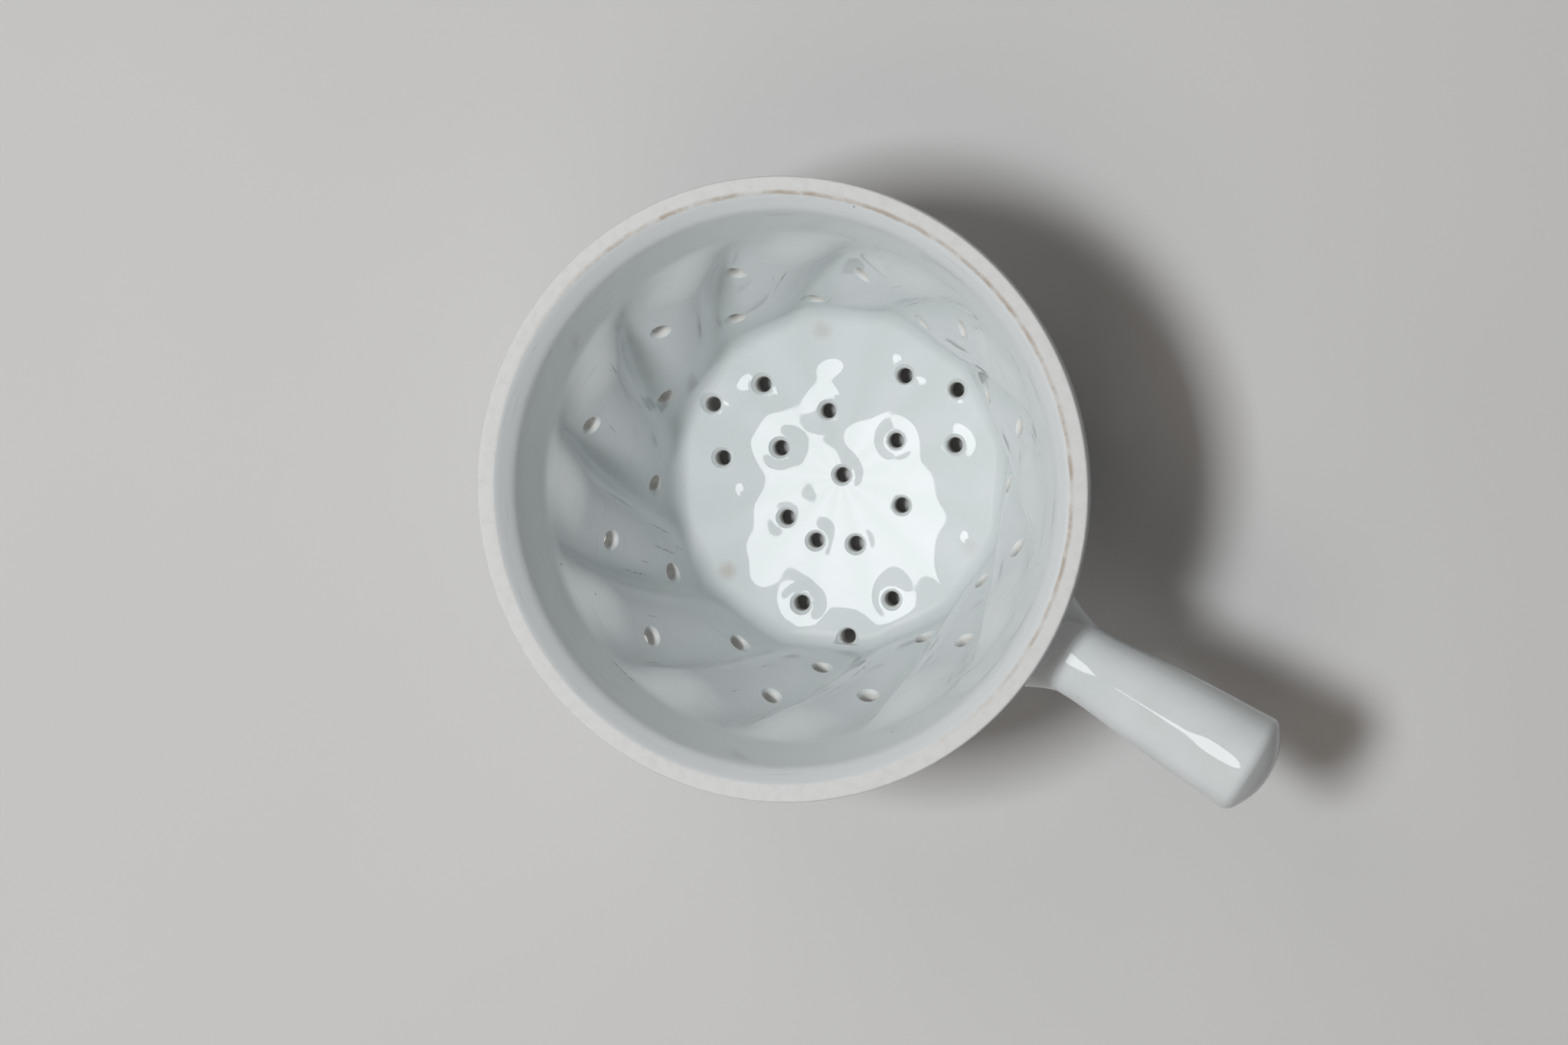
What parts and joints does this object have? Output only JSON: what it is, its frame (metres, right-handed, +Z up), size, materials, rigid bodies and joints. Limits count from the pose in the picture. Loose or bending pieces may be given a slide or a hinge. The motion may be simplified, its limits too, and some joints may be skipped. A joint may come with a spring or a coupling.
{
  "type": "berry colander bowl",
  "caption": "Round porcelain strainer bowl with twisted inner ribs, punched drain holes in wall and floor, a hollow stub handle and small pad feet, for rinsing berries.",
  "frame": {"origin": "on the bowl's axis, in the plane that the feet stand on", "axes": "+Z up along the bowl's axis, +X along the handle"},
  "size_m": [0.2369, 0.17, 0.09],
  "materials": {
    "glaze": "glossy pale blue-white glaze, rim top bare and matt",
    "handle_glaze": "glossy pale blue-white glaze",
    "foot_clay": "bare fired porcelain, matt"
  },
  "bodies": {
    "root": {"bowl": "glaze", "handle": "handle_glaze", "slip_collar": "handle_glaze", "foot_1": "foot_clay", "foot_2": "foot_clay", "foot_3": "foot_clay"}
  },
  "joints": []
}
